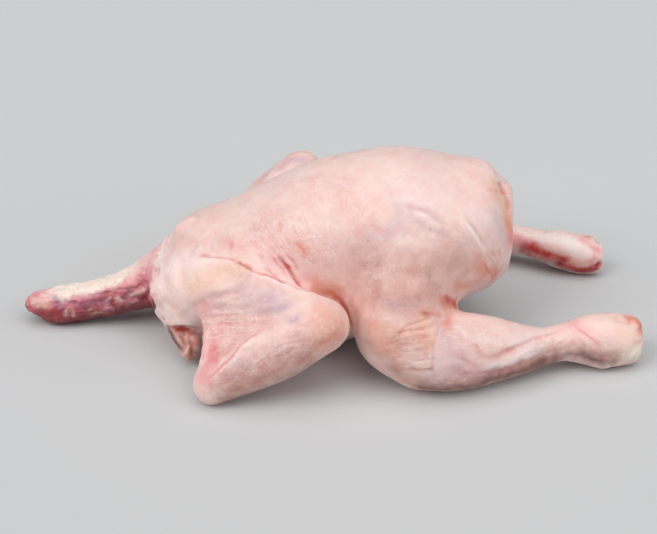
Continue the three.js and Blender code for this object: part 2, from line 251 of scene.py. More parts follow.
BODY_STROKES = [
    # tucks of the flank running down under the wing
    stroke([(231, 242), (230.5, 250), (231.5, 259)], -0.4, 0.9, 0.0, "deep", 0.2, 1.1),
    stroke([(197, 243), (194, 250), (191, 256)], -0.4, 1.3, 0.0, "plum", 0.3),
    stroke([(202, 254), (206, 255), (210, 256)], -0.4, 1.2, 0.0, "deep", 0.35, 1.6),
    patch([(224, 240), (230, 242), (236, 246)], "rose", 0.4, 4.0),
    *fan([[(244, 243), (256, 253), (266, 266)],
          [(262, 240), (276, 256), (288, 274)],
          [(280, 232), (294, 250), (307, 270)]],
         11, rise=-0.32, wide=0.9, stain="rose", amount=0.25, spread=1.2),
    stroke([(280, 257), (283, 263), (290, 271), (295, 280), (301, 287)], -1.3, 1.2, 0.6, "deep", 0.6, 1.5),
    stroke([(268, 270), (275, 276), (283, 282)], -0.7, 1.1, 0.0, "deep", 0.3, 1.4),
    stroke([(286, 254), (293, 264), (301, 275)], -0.6, 1.0, 0.0, "rose", 0.5, 1.6),
    stroke([(272, 257), (279, 266), (287, 277)], -0.6, 1.0, 0.0, "rose", 0.5, 1.6),
    stroke([(291, 239), (297, 246), (303, 252)], -0.3, 1.6, 0.0, "rose", 0.35, 2.0),
    patch([(300, 245), (304, 252)], "amber", 0.5, 3.4),
    patch([(276, 262), (290, 270), (306, 284)], "rose", 0.35, 8.0),
    patch([(320, 284), (328, 287), (338, 293)], "amber", 0.4, 4.5),
    patch([(340, 270), (350, 290), (360, 310)], "rose", 0.15, 14.0),
    # veins and soft folds on the loin
    patch([(380, 180), (388, 190), (396, 203)], "plum", 0.16, 2.0),
    stroke([(396, 204), (405, 206), (416, 208), (428, 212), (438, 219)], -0.3, 2.0, 0.0, "plum", 0.28, 2.6),
    stroke([(409, 211), (413, 219), (422, 226), (433, 231), (446, 233)], -0.35, 2.0, 0.0, "plum", 0.26, 2.6),
    patch([(398, 210), (400, 220), (402, 231)], "plum", 0.35, 4.5),
    stroke([(416, 214), (427, 219), (439, 227)], 0.4, 2.2, 0.0, "pale", 0.5, 2.2),
    stroke([(452, 222), (462, 232), (472, 246)], -0.3, 2.6, 0.0, "tan", 0.2, 3.0),
    stroke([(430, 240), (446, 243), (462, 252)], -0.25, 2.8, 0.0, "tan", 0.2, 3.0),
    stroke([(396, 240), (416, 245), (436, 247)], 0.4, 3.5, 0.0, "pale", 0.25, 3.5),
    patch([(372, 235), (388, 232), (402, 222)], "plum", 0.28, 8.0),
    patch([(352, 206), (366, 216), (384, 214)], "yolk", 0.2, 9.0),
    stroke([(371, 226), (377, 229), (383, 232)], -0.2, 1.2, 0.0, "rose", 0.4, 1.8),
    patch([(353, 223), (357, 231)], "rose", 0.3, 2.4),
    # ridge and hollow over the haunch
    stroke([(461, 217), (468, 226), (476, 237), (485, 251)], 0.6, 1.1, 0.0, "pale", 0.8, 1.4),
    # painted shade in the hollow beside the ridge
    stroke([(466, 217), (474, 228), (484, 243)], -0.35, 1.6, 0.0, "tan", 0.25, 2.6),
    # the darker saddle of skin above the thigh
    patch([(357, 242), (372, 244), (392, 243)], "tan", 0.3, 4.5),
    patch([(408, 250), (425, 248), (445, 246), (470, 242)], "tan", 0.35, 5.5),
    patch([(366, 262), (392, 270), (425, 266), (455, 262)], "tan", 0.62, 17.0),
    patch([(372, 290), (395, 300), (425, 296)], "tan", 0.74, 15.0),
    patch([(378, 322), (388, 334), (398, 342)], "tan", 0.6, 8.0),
    patch([(404, 288), (414, 286)], "amber", 0.15, 7.0),
    # painted shade in a small crease of the thigh
    stroke([(427, 277), (432, 281), (437, 286)], -0.25, 2.0, 0.0, "painted_shade", 0.2, 3.0),
    patch([(392, 303), (402, 307), (412, 306)], "plum", 0.3, 5.0),
    # rump and tail
    patch([(476, 264), (486, 271), (496, 276)], "amber", 0.6, 6.0, far=False),
    patch([(452, 290), (466, 286), (482, 279)], "amber", 0.42, 6.0, far=False),
    *fan([[(474, 255), (484, 267), (494, 280)],
          [(485, 252), (491, 265), (497, 278)],
          [(498, 250), (502, 262), (502, 273)]],
         6, rise=-0.35, wide=1.0, stain="amber", amount=0.35, spread=1.3, far=False),
    stroke([(486, 187), (491, 190), (497, 190.5)], -0.4, 1.3, 0.0, "amber", 0.3, 2.2, far=False),
    patch([(480, 178), (488, 186), (492, 196)], "amber", 0.15, 6.0, far=False),
    stroke([(496, 186), (500, 198), (504, 212), (506, 226)], -0.3, 2.4, 0.0, "yolk", 0.65, 5.0, far=False),
    stroke([(504, 192), (507, 203), (508.5, 214), (508.5, 225)],
           -0.2, 2.0, 0.0, "amber", 0.65, 3.6, far=False),
    stroke([(499, 179), (504, 187), (507, 196)], -2.2, 6.0, 0.0, "amber", 0.15, 5.0, far=False),
    stroke([(470, 161), (484, 163), (496, 172)], 0.9, 7.0),
    patch([(495, 215), (500, 228), (503, 240)], "plum", 0.25, 5.0),
    # between thigh and rump
    stroke([(446, 299), (450, 301.5), (455, 304)], -1.0, 2.2, 0.0, "deep", 0.95, 3.0, far=False),
    patch([(452, 307), (449, 316), (445, 325)], "amber", 0.5, 4.6, far=False),
    patch([(442, 302), (450, 306), (456, 305)], "amber", 0.7, 5.0, far=False),
    patch([(458, 303), (474, 296), (490, 290)], "amber", 0.45, 4.5),
    # front edge of the skin
    stroke([(155, 281), (154, 288), (156, 296)], 1.4, 5.0, 0.0, "rose", 0.3, 3.5),
    stroke([(174, 234), (180, 228), (188, 222), (198, 216)], 1.2, 7.0, 0.0, "rose", 0.12, 5.0),
    stroke([(157, 252), (161, 247), (165, 242), (170, 236)], -2.4, 4.0, 0.0, "rose", 0.12, 5.0),
    stroke([(160, 268), (158, 273), (158, 277)], -1.6, 2.4, 0.0, "rose", 0.3, 2.4),
    stroke([(163, 304), (160, 311), (162, 318), (168, 324)], -2.0, 4.6, 0.0, "pale", 0.6, 5.0),
    # painted light: pale laid along the collar's fold, which lies in shade
    patch([(162, 246), (159, 262), (160, 282), (166, 300), (172, 312)], "pale", 0.7, 7.0),
    patch([(166, 262), (166, 276), (170, 286)], "plum", 0.16, 7.0),
    patch([(168, 296), (174, 304), (184, 300)], "yolk", 0.4, 7.0),
    patch([(177, 236), (184, 240), (192, 242)], "tan", 0.28, 7.0),
    # painted light on the chest, which lies in shade
    patch([(172, 290), (178, 298), (184, 306)], "pale", 0.5, 7.0),
    stroke([(170, 246), (180, 255), (184, 266), (184, 280)], -0.35, 4.0, 0.0, "plum", 0.14, 4.0),
    stroke([(176, 262), (176, 276), (180, 292), (186, 304)], 0.5, 5.0),
    stroke([(160, 300), (170, 304), (180, 312)], -0.6, 3.4, 0.0, "rose", 0.15, 3.0),
]

LEG_STROKES = [
    # pleats round the knee
    *fan([[(396, 332), (408, 327), (421, 322), (435, 317)],
          [(382, 349), (400, 346), (419, 343), (437, 343)],
          [(398, 368), (411, 369), (423, 369), (434, 368)]],
         12, rise=-0.6, wide=0.9, stain="rose", amount=0.12, spread=0.9),
    stroke([(398, 331), (408, 327), (420, 322)], -0.3, 1.4, 0.0, "amber", 0.2, 1.8),
    patch([(390, 338), (404, 346), (416, 356)], "yolk", 0.22, 12.0),
    patch([(416, 322), (422, 332), (424, 342)], "amber", 0.22, 7.0),
    patch([(424, 322), (430, 334), (431, 350)], "yolk", 0.45, 6.0),
    patch([(410, 356), (422, 358), (432, 354)], "pale", 0.4, 6.0),
    patch([(370, 325), (378, 342), (392, 358)], "amber", 0.3, 7.0),
    # painted shade under the knee
    patch([(370, 344), (380, 358), (396, 370)], "painted_shade", 0.3, 5.0),
    stroke([(423, 313.5), (429, 314.5), (436, 316)], -0.8, 1.4, 0.5, "deep", 0.35, 1.8),
    patch([(424, 312), (430, 313), (438, 314)], "amber", 0.4, 3.6),
    stroke([(440, 318), (439, 328), (437, 339), (434, 350), (433, 362), (430, 372)],
           -0.35, 1.0, -0.3, "plum", 0.35, 1.6),
    # painted shade in the crease under the knee
    stroke([(412, 369), (420, 371), (430, 368)], -0.4, 1.2, 0.0, "painted_shade", 0.35, 1.6),
    # calf
    patch([(446, 342), (454, 356), (450, 370)], "plum", 0.36, 10.0),
    stroke([(476, 344), (478, 349), (481, 354)], -0.2, 1.3, 0.0, "tan", 0.4, 2.2),
    stroke([(484, 358), (500, 355), (515, 349), (530, 341)], -0.7, 2.0, 0.0, "tan", 0.3, 2.4),
    stroke([(484, 367), (505, 363), (525, 357), (545, 351)], 0.7, 2.0, 0.0, "pale", 0.6, 2.4),
    stroke([(452, 352), (466, 362), (484, 372)], -0.5, 2.4, 0.0, "rose", 0.22, 2.4),
    stroke([(460, 330), (478, 338), (500, 342)], 0.6, 3.0, 0.0, "pale", 0.4, 3.0),
    stroke([(446, 368), (468, 374), (500, 371), (528, 362)], -0.7, 2.2, 0.0, "rose", 0.25, 2.4),
    # painted shade under the calf, in tan and in a dark brown
    patch([(400, 374), (425, 386), (450, 389), (480, 384), (520, 371), (555, 359)], "tan", 0.8, 9.0),
    patch([(425, 387), (450, 389), (480, 384), (520, 372), (555, 360)], "painted_shade", 0.72, 6.4),
    patch([(430, 378), (460, 376), (490, 374)], "plum", 0.3, 6.0),
    # shank
    patch([(520, 341), (540, 340), (562, 336)], "pale", 0.55, 6.0),
    stroke([(500, 352), (520, 345), (545, 336), (562, 330)], -0.6, 1.4, 0.0, "rose", 0.35, 1.6),
    stroke([(506, 360), (530, 351), (552, 343), (567, 337)], 0.6, 1.5, 0.0, "pale", 0.5, 1.6),
    stroke([(512, 367), (535, 357), (556, 350), (572, 345)], -0.6, 1.5, 0.0, "tan", 0.45, 2.0),
    # painted shade along the shank's lower side
    stroke([(538, 362), (556, 357), (570, 353)], -0.4, 1.6, 0.0, "painted_shade", 0.3, 2.2),
    patch([(574, 322), (584, 330)], "rose", 0.3, 5.0),
    # hock: a groove, the pinch above the joint, and the knobs of its cut end
    stroke([(576, 325), (581, 331), (588, 337), (597, 342)], -0.6, 1.0, 0.0, "rose", 0.6, 1.3),
    stroke([(568, 354), (573, 358), (579, 360)], -1.1, 4.0, 0.0, "plum", 0.3, 3.4),
    stroke([(591, 364), (602, 366), (611, 364)], 1.6, 4.2),
    stroke([(588, 356), (597, 353), (608, 356), (618, 353)], -0.35, 2.4, 0.0, "tan", 0.25, 2.4),
    stroke([(612, 314), (617, 318), (620, 325)], -0.6, 3.4),
    stroke([(629, 319), (636, 322), (640, 329)], 1.4, 4.5, 0.0, "amber", 0.7, 4.4),
    patch([(631, 318), (637, 322), (640, 327)], "deep", 0.4, 2.0),
    stroke([(646, 343), (639, 344), (632, 346)], -0.5, 2.6),
    stroke([(629, 355), (636, 355), (643, 354)], 1.2, 3.6, 0.0, "gristle", 0.9, 6.0),
    patch([(620, 332), (630, 335), (636, 341)], "yolk", 0.4, 5.0),
    # painted shade under the hock
    patch([(584, 355), (598, 360.5), (614, 360.5)], "painted_shade", 0.75, 5.0),
]

# What only the far side shows.
FAR_STROKES = [
    # drumstick
    # painted light: the drumstick's top and root are laid paler where the body shades them
    patch([(516, 228), (530, 233), (550, 237), (575, 243), (592, 252)], "pale", 1.0, 7.0),
    patch([(512, 237), (520, 242), (530, 246)], "rose", 0.9, 6.0),
    # the drumstick's red lower side: red flesh, and partly painted shade
    patch([(526, 248), (538, 251), (550, 255), (564, 260)], "deep", 1.0, 4.2),
    stroke([(522, 251), (534, 255), (548, 259), (560, 263)], 2.2, 4.0, 0.0, "raw", 0.5, 2.8),
    patch([(560, 264), (574, 269), (587, 270), (598, 266)], "deep", 1.0, 4.4),
    patch([(562, 268), (574, 271), (587, 271.5), (597, 268)], "raw", 0.5, 2.4),
    patch([(566, 260), (580, 263), (592, 260)], "amber", 0.45, 3.0),
    stroke([(550, 231), (558, 231), (566, 233)], 0.9, 3.0),
    stroke([(570, 236), (575, 238)], -0.8, 2.6, 0.0, "pale", 0.8, 2.6),
    stroke([(595, 240), (600, 243), (604, 248)], -1.4, 4.0, 0.0, "gristle", 0.6, 3.6),
    stroke([(598, 268), (602, 262)], -2.4, 3.6),
    patch([(582, 240), (590, 245), (597, 250)], "rose", 0.7, 3.0),
    stroke([(590, 244), (594, 250), (595, 258)], -0.6, 1.4, 0.0, "rose", 0.5, 1.8),
    # wing
    patch([(284, 166), (292, 162), (302, 160)], "plum", 0.55, 6.0),
    stroke([(316, 160), (324, 159), (332, 158)], 0.7, 7.0),
]

FLAP_STROKES = [
    # the overhanging edge of the skin above the flap
    stroke([(196, 328), (187, 325), (178, 324.5), (170, 325), (163, 320)], -0.9, 1.3, 2.2, "deep", 0.5, 1.4),
    # the raw hollow and the shreds below it
    patch([(176, 332), (186, 342), (190, 352)], "tan", 0.9, 8.0),
    stroke([(176, 328), (183, 330), (190, 333)], -1.8, 3.0, 0.0, "deep", 1.0, 3.0),
    patch([(182, 328), (188, 331)], "raw", 0.3, 1.8),
    patch([(169, 328), (172, 334), (175, 341)], "plum", 0.7, 3.0),
    stroke([(173, 329), (177, 336), (182, 343), (186, 350)], 0.9, 1.1, 0.0, "gristle", 0.5, 1.1),
    stroke([(179, 336), (183, 341), (186, 346)], -0.7, 1.1, 0.0, "deep", 0.7, 1.3),
    stroke([(185, 333), (187.5, 341), (188, 350)], 0.7, 1.1, 0.0, "gristle", 0.4, 1.1),
    stroke([(191, 338), (192, 346), (191, 355)], -0.5, 1.2, 0.0, "deep", 0.5, 1.6),
    stroke([(194, 334), (196, 343), (197, 352)], 3.6, 3.4, 0.0, "rose", 0.3, 2.6),
    stroke([(183, 351), (187, 354), (193, 354)], 5.5, 4.2, 0.0, "yolk", 0.3, 3.0),
    patch([(188, 352), (190, 356)], "deep", 0.7, 1.3),
    # painted shade on the flap's left edge, which lies in shade
    patch([(169, 329), (174, 339), (180, 348)], "painted_shade", 0.85, 3.4),
]

NECK_STROKES = [
    # root, on the upper side
    stroke([(148, 262), (153, 262), (156, 266)], 1.2, 5.0, 0.0, "rose", 0.9, 7.0),
    patch([(145, 258), (150, 256), (153, 262)], "fat", 0.45, 6.0),
    # tip: a nub behind a groove, gristle, and the cut under it
    stroke([(28, 300), (28.5, 305), (30, 311)], -0.9, 1.2, 0.0, "blood", 0.5, 1.4),
    stroke([(28, 297), (33, 295), (38, 292)], -0.8, 3.0),
    stroke([(46, 286), (51, 289), (54, 293)], -1.3, 3.4, 0.0, "rose", 0.6, 4.0),
    stroke([(54, 318), (62, 320), (71, 319)], 1.2, 4.0),
    patch([(33, 300), (38, 302.5), (45, 304)], "bead", 0.8, 3.4),
    stroke([(35, 303), (40, 303), (44, 305)], 0.7, 1.6, 0.0, "fat", 0.3, 1.4),
    stroke([(36, 308), (40, 309)], 0.7, 1.4, 0.0, "fat", 0.35, 1.3),
    patch([(42, 312), (48, 313), (56, 314)], "blood", 1.0, 4.6),
    patch([(58, 300), (61, 307), (62, 314)], "plum", 0.45, 3.4),
    patch([(25, 305), (26, 309)], "blood", 0.35, 2.0),
    patch([(33, 297), (40, 295), (50, 296)], "rose", 0.95, 5.0),
    # shreds, beads of fat and vessels
    stroke([(65, 315), (66, 310), (70, 307.5), (73, 310), (72, 316)], 0.6, 0.9, 0.0, "bead", 0.6, 1.1),
    stroke([(92, 314), (97, 312), (104, 313)], 0.8, 1.3, 0.0, "bead", 0.4, 1.3),
    stroke([(88, 311), (92, 308)], 0.6, 1.1, 0.0, "bead", 0.35, 1.2),
    stroke([(104, 309), (108, 306), (112, 308)], 1.1, 2.2, 0.0, "rose", 0.6, 2.4),
    stroke([(116, 298), (118, 297.5), (120, 299)], 0.7, 1.3, 0.0, "fat", 0.8, 1.4),
    stroke([(106, 300), (110, 297)], 0.5, 1.3, 0.0, "fat", 0.5, 1.4),
    stroke([(131, 295), (136, 292), (142, 290)], 1.0, 2.0, 0.0, "fat", 0.5, 1.8),
    stroke([(130, 303), (136, 300), (140, 302)], 0.8, 2.0, 0.0, "rose", 0.6, 2.2),
    stroke([(78, 300), (84, 299), (88, 301)], 0.6, 1.8, 0.0, "rose", 0.5, 2.2),
    stroke([(118, 304), (124, 302), (127, 305)], 0.9, 2.2, 0.0, "rose", 0.4, 2.4),
    stroke([(66, 300), (76, 304), (84, 310)], -0.8, 1.5, 0.0, "plum", 0.5, 1.8),
    stroke([(110, 302), (114, 307), (116, 312)], -0.9, 1.4, 0.0, "blood", 0.4, 1.8),
    stroke([(141, 303), (145, 298), (149, 292)], -1.6, 1.8, 0.0, "blood", 0.8, 2.4),
    stroke([(122, 298), (125, 294), (129, 290)], -0.7, 1.2, 0.0, "plum", 0.9, 1.7),
    stroke([(60, 308), (58, 302), (55, 298)], -0.4, 1.6, 0.0, "plum", 0.6, 3.0),
    stroke([(84, 304), (95, 302), (106, 300)], -0.6, 1.6, 0.0, "plum", 0.6, 2.6),
    stroke([(104, 294), (125, 289), (148, 281)], -0.6, 1.4, 0.0, "blood", 0.35, 1.8),
    stroke([(70, 298), (95, 295), (120, 289)], -0.4, 1.4, 0.0, "plum", 0.25, 2.0),
]

# Creped zones: fine wrinkles round a path, all running along a second line, with their spread and depth.


def creped(path, along, spread, depth):
    return {"path": path, "along": along, "spread": spread, "depth": depth}


WING_CREPED = [
    creped([(205, 325), (235, 325), (265, 320)], [(203, 330), (255, 324)], 13, 0.22),
    creped([(214, 352), (228, 346)], [(210, 358), (236, 344)], 8, 0.22),
    creped([(225, 388), (262, 366), (300, 350), (325, 340)], [(235, 378), (300, 345)], 14, 0.26),
    creped([(200, 283), (235, 272)], [(195, 292), (240, 273)], 12, 0.12),
    creped([(225, 298), (265, 306)], [(215, 302), (270, 308)], 9, 0.16),
]
BODY_CREPED = [
    creped([(262, 228), (290, 232), (316, 245)], [(286, 212), (306, 252)], 20, 0.2),
    creped([(215, 242), (245, 248)], [(222, 228), (234, 260)], 12, 0.16),
    creped([(163, 262), (172, 290), (176, 312)], [(160, 262), (176, 316)], 11, 0.1),
    creped([(330, 190), (350, 215)], [(318, 180), (345, 235)], 30, 0.12),
    creped([(372, 268), (400, 290), (430, 280)], [(372, 255), (400, 300)], 22, 0.15),
    creped([(425, 225), (455, 245)], [(410, 230), (450, 250)], 22, 0.11),
]
LEG_CREPED = [
    creped([(395, 345), (420, 348)], [(392, 348), (436, 345)], 13, 0.2),
    creped([(450, 383), (490, 379), (540, 363)], [(460, 382), (550, 350)], 8, 0.28),
    creped([(540, 350), (560, 342), (575, 345)], [(535, 352), (580, 338)], 9, 0.2),
    creped([(590, 350), (615, 355)], [(585, 345), (625, 355)], 9, 0.2),
    creped([(450, 335), (490, 345)], [(445, 335), (510, 350)], 16, 0.16),
]
CREPE_BARE = 0.06              # depth of the wrinkles outside those zones
CREPE_STRETCH = 2.8            # how much longer than wide a wrinkle is in them
CREPE_SIZES = ((3.0, 1.0), (4.8, 1.0))     # how far apart wrinkles lie, and their share of the depth

# ------------------------------------------------------------------ geometry helpers


def ramp(low, high, value):
    """0 below low, 1 above high and a soft ramp between."""
    share = np.clip((value - low) / (high - low), 0, 1)
    return share * share * (3 - 2 * share)


def eased(path, spacing=2.0):
    """A polyline's points as one smooth curve, about spacing apart."""
    points = [np.array(p, float) for p in path]
    ends = [2 * points[0] - points[1], *points, 2 * points[-1] - points[-2]]
    curve = []
    for a, b, c, d in zip(ends, ends[1:], ends[2:], ends[3:]):
        steps = max(1, round(np.linalg.norm(c - b) / spacing))
        for t in np.arange(steps) / steps:
            curve.append(0.5 * (2 * b + (c - a) * t + (2 * a - 5 * b + 4 * c - d) * t ** 2
                                + (3 * b - a - 3 * c + d) * t ** 3))
    return [*curve, points[-1]]


def sight(at):
    """The direction in which the camera sees a point of its frame."""
    aside = VIEW_RIGHT * (at[0] - VIEW_WIDTH / 2) / FOCAL
    above = VIEW_UP * (VIEW_HEIGHT / 2 - at[1]) / FOCAL
    return (aside + above - VIEW_BACK).normalized()


def limb_axes(marks):
    """A limb's two bones and the way out of their plane, as the columns of a matrix."""
    root, joint, end = (Vector(m) for m in marks)
    out = (joint - root).cross(end - root).normalized()
    if out.y * joint.y < 0:
        out.negate()
    columns = (joint - root, end - root, out * (joint - root).length)
    return Matrix(columns).transposed()


def to_far_limb(limbs):
    """Carries a point of the near limb over to the far one."""
    turn = limb_axes(limbs["far"]) @ limb_axes(limbs["near"]).inverted()
    near_root, far_root = Vector(limbs["near"][0]), Vector(limbs["far"][0])
    return lambda point: far_root + turn @ (point - near_root)


def to_far_flank(point):
    return Vector((point.x, -point.y, point.z))


def linked(name, data):
    piece = bpy.data.objects.new(name, data)
    bpy.context.scene.collection.objects.link(piece)
    return piece


def piece_from(bm, name):
    mesh = bpy.data.meshes.new(name)
    bm.to_mesh(mesh)
    bm.free()
    return linked(name, mesh)


def merged_copy(node):
    """A bmesh of a CAD node with its loose triangles joined."""
    bm = bmesh.new()
    bm.from_mesh(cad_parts[node].data)
    bmesh.ops.remove_doubles(bm, verts=bm.verts, dist=0.01 * MM)
    return bm


def cut_across(bm, x, side):
    """Cuts away what lies beyond x, towards +X for side 1 and towards -X for side -1."""
    bmesh.ops.bisect_plane(
        bm, geom=[*bm.verts, *bm.edges, *bm.faces], plane_co=(x * MM, 0, 0), plane_no=(side, 0, 0),
        clear_outer=True)


def rim(bm):
    return [edge for edge in bm.edges if edge.is_boundary]


def close_end(bm):
    bmesh.ops.holes_fill(bm, edges=rim(bm))
    bmesh.ops.triangulate(bm, faces=[face for face in bm.faces if len(face.verts) > 4])


def baked(piece):
    """Makes the piece's modifiers part of its mesh."""
    graph = bpy.context.evaluated_depsgraph_get()
    piece.data = bpy.data.meshes.new_from_object(piece.evaluated_get(graph))
    piece.modifiers.clear()
    piece.data.name = piece.name
    return piece


def even_skin(bm, name, face, passes):
    """The form as a piece with rounded surfaces and small even faces of the given side, in millimetres."""
    piece = piece_from(bm, name)
    rounding = piece.modifiers.new("rounding", "SUBSURF")
    rounding.levels = 1
    rounding.render_levels = 1
    remesh = piece.modifiers.new("remesh", "REMESH")
    remesh.mode = "VOXEL"
    remesh.voxel_size = face * MM
    easing = piece.modifiers.new("easing", "SMOOTH")
    easing.factor = 0.5
    easing.iterations = passes
    return baked(piece)


def thinned(piece, triangles):
    """Fewer faces where the surface is plain, and the same where it is wrinkled."""
    corners = sum(len(face.vertices) - 2 for face in piece.data.polygons)
    thinning = piece.modifiers.new("thinning", "DECIMATE")
    thinning.ratio = min(1.0, triangles / corners)
    thinning.use_collapse_triangulate = True
    return baked(piece)


def noise_at(points, scale, seed):
    """Smooth noise of -1 to 1 at each point, with lumps about scale across."""
    shift = Vector((seed * 17.3, seed * 5.1, seed * 9.7))
    return np.array([noise.noise(Vector(p) / scale + shift) for p in points])


def drift_at(points, scale, seed):
    """A smooth random shift of up to about 1 each way at each point."""
    shift = Vector((seed * 11.1, seed * 7.9, seed * 3.3))
    return np.array([noise.noise_vector(Vector(p) / scale + shift) for p in points])


def crests_at(points, scale, seed):
    """Round crests of height 0.5 between sharp valleys, about scale apart."""
    return 0.5 - 2.2 * np.abs(noise_at(points, scale, seed))


class Clay:
    """A piece being sculpted: points, normals and the heights given to them, in millimetres, and stains."""

    def __init__(self, piece, stains):
        self.piece = piece
        mesh = piece.data
        self.count = len(mesh.vertices)
        self.points = self.read(mesh.vertices, "co") / MM
        self.normals = self.read(mesh.vertices, "normal")
        self.edges = self.read(mesh.edges, "vertices", 2, np.int32)
        self.height = np.zeros(self.count)
        self.stains = {name: np.zeros(self.count) for name in stains}
        self.ragged = noise_at(self.points, RAGGED_SIZE, 31)
        self.patchy = noise_at(self.points, PATCHY_SIZE, 32)
        self.felt = self.points + sum(
            reach * drift_at(self.points, size, seed) for seed, (size, reach) in enumerate(WANDER))
        self.lie = self.points.copy()
        self.laid = np.zeros(self.count)
        self.creping = np.full(self.count, CREPE_BARE)
        corners = [Vector(p) for p in self.points]
        self.tree = BVHTree.FromPolygons(corners, [tuple(face.vertices) for face in mesh.polygons])

    @staticmethod
    def read(items, key, width=3, kind=np.float32):
        values = np.zeros(len(items) * width, kind)
        items.foreach_get(key, values)
        return values.reshape(-1, width).astype(float if kind is np.float32 else int)

    def dropped(self, path):
        """A path of the camera's frame laid on the skin: its points and the normals there."""
        hits = [self.tree.ray_cast(EYE / MM, sight(at))[:2] for at in eased(path)]
        return [hit for hit in hits if hit[0] is not None]

    def carried(self, hits, carry):
        """The same path on the far side of the bird."""
        return [self.tree.find_nearest(carry(at))[:2] for at, _ in hits]

    def beside(self, hits, reach):
        """The points near a path: which, how far off, on which side, how far along, and how aligned."""
        line = np.array([at for at, _ in hits])
        facing = np.array([normal for _, normal in hits])
        lengths = np.linalg.norm(np.diff(line, axis=0), axis=1)
        run = np.concatenate([[0], np.cumsum(lengths)])
        inside = np.all((self.felt > line.min(0) - reach) & (self.felt < line.max(0) + reach), axis=1)
        near = np.flatnonzero(inside)
        points = self.felt[near]
        gap = np.full(len(near), np.inf)
        side, share, align = np.zeros((3, len(near)))
        for i, length in enumerate(lengths):
            if length == 0:
                continue
            along = (line[i + 1] - line[i]) / length
            reached = np.clip((points - line[i]) @ along, 0, length)
            off = points - line[i] - reached[:, None] * along
            here = np.linalg.norm(off, axis=1)
            closer = here < gap
            gap[closer] = here[closer]
            right = np.cross(along, facing[i])
            side[closer] = (off @ right)[closer]
            share[closer] = ((run[i] + reached) / run[-1])[closer]
            align[closer] = (self.normals[near] @ facing[i])[closer]
        kept = gap < reach
        return near[kept], gap[kept], side[kept], share[kept], align[kept]

    def work(self, hits, fold, strength=1.0):
        """Sinks or raises the skin along a path and stains it."""
        if len(hits) < 2:
            return
        lip_reach = LIP_REACH * fold["wide"]
        reach = FADED * max(fold["wide"], fold["spread"], lip_reach if fold["lip"] else 0)
        near, gap, side, share, align = self.beside(hits, reach)
        # A fold runs out towards both ends, and neither it nor its stain shows on skin that faces away.
        ends = ramp(-0.02, 0.25, share) * ramp(1.02, 0.75, share)
        facing = ramp(-0.3, 0.4, align)
        ragged, patchy = self.ragged[near], self.patchy[near]
        if fold["rise"]:
            trough = np.exp(-(gap / fold["wide"] * (1 + RAGGED * ragged)) ** 2)
            self.height[near] += strength * fold["rise"] * trough * (1 + PATCHY * patchy) * ends * facing
        if fold["lip"]:
            over = ramp(-0.3, 0.8, side / fold["wide"]) * np.exp(-(gap / lip_reach) ** 2)
            self.height[near] += strength * fold["lip"] * over * ends * facing
        if fold["stain"]:
            soak = np.exp(-(gap / fold["spread"] * (1 + RAGGED * ragged)) ** 2)
            paint = strength * fold["amount"] * soak * (1 + PATCHY * patchy) * facing
            layer = self.stains[fold["stain"]]
            layer[near] = np.maximum(layer[near], paint)

    def lay(self, hits, along, zone):
        """Turns the lie of the skin round a path along the given direction, and wrinkles it deeper there."""
        if len(hits) < 2:
            return
        near, gap, _, _, align = self.beside(hits, FADED * zone["spread"])
        along = np.array(along, float) / np.linalg.norm(along)
        middle = np.mean([at for at, _ in hits], axis=0)
        weight = np.exp(-(gap / zone["spread"]) ** 2) * ramp(-0.2, 0.5, align)
        self.creping[near] = np.maximum(self.creping[near], weight * zone["depth"])
        weight = np.minimum(weight, 1 - self.laid[near])
        self.laid[near] += weight
        off = weight * (1 - 1 / CREPE_STRETCH) * ((self.points[near] - middle) @ along)
        self.lie[near] -= off[:, None] * along

    def wrinkle(self):
        """Fine wrinkles everywhere, running with the lie of the skin."""
        for seed, (size, share) in enumerate(CREPE_SIZES):
            self.height += share * self.creping * crests_at(self.lie, size, seed + 50)

    def settle(self):
        """Moves the points by their heights, and keeps them off the floor and inside the bird's box."""
        low, high = (np.array(corner) / MM for corner in CAD_BOX)
        free = np.where(self.height > 0, ramp(*FLOOR_FADE, self.points[:, 2]), 1.0)
        self.points += self.normals * (self.height * free)[:, None]
        self.points = np.clip(self.points, low, high)

    def sunk(self, passes, scale):
        """How far each point is worked below the skin round it: 0.5 when level, 1 at scale millimetres."""
        a, b = self.edges.T
        counts = np.bincount(a, minlength=self.count) + np.bincount(b, minlength=self.count)
        around = self.height
        for _ in range(passes):
            around = (np.bincount(a, around[b], self.count) + np.bincount(b, around[a], self.count)) / counts
        return np.clip(0.5 + (around - self.height) / (2 * scale), 0, 1)

    def store(self):
        """Writes the sculpted points, the stains and the lie of the skin back to the piece."""
        mesh = self.piece.data
        mesh.vertices.foreach_set("co", (self.points * MM).astype(np.float32).ravel())
        for name, values in self.stains.items():
            layer = mesh.attributes.new(name, "FLOAT", "POINT")
            layer.data.foreach_set("value", np.clip(values, 0, 1).astype(np.float32))
        layer = mesh.attributes.new("lie", "FLOAT_VECTOR", "POINT")
        layer.data.foreach_set("vector", self.lie.astype(np.float32).ravel())
        mesh.polygons.foreach_set("use_smooth", np.ones(len(mesh.polygons), bool))
        mesh.update()


# ------------------------------------------------------------------ skin

FOLLICLE_SPACING = 3.2
FOLLICLE_SIZE = 0.95
FOLLICLE_RISE = 0.22
FOLLICLE_UNEVEN = (0.2, 1.1)   # a follicle's least and greatest share of that
# How strongly follicles stand from tract to tract of the skin, and how much more where it is creped.
TRACT = {"size": 30.0, "middle": 0.3, "swing": 0.5, "creped": 2.0, "least": 0.05, "most": 1.1}
LUMPS = ((38.0, 0.7), (15.0, 0.45), (7.5, 0.3))      # size and height of the skin's unevenness
LIVELY = (0.1, 6.5)            # the share of it on smooth skin, and what each millimetre of creping adds
SKIN_SUNK = (16, 0.75)         # how widely hollows are told from the skin round them, and how deep they go
CREPED_MOST = 0.5              # the creping that counts as full in the skin's colours
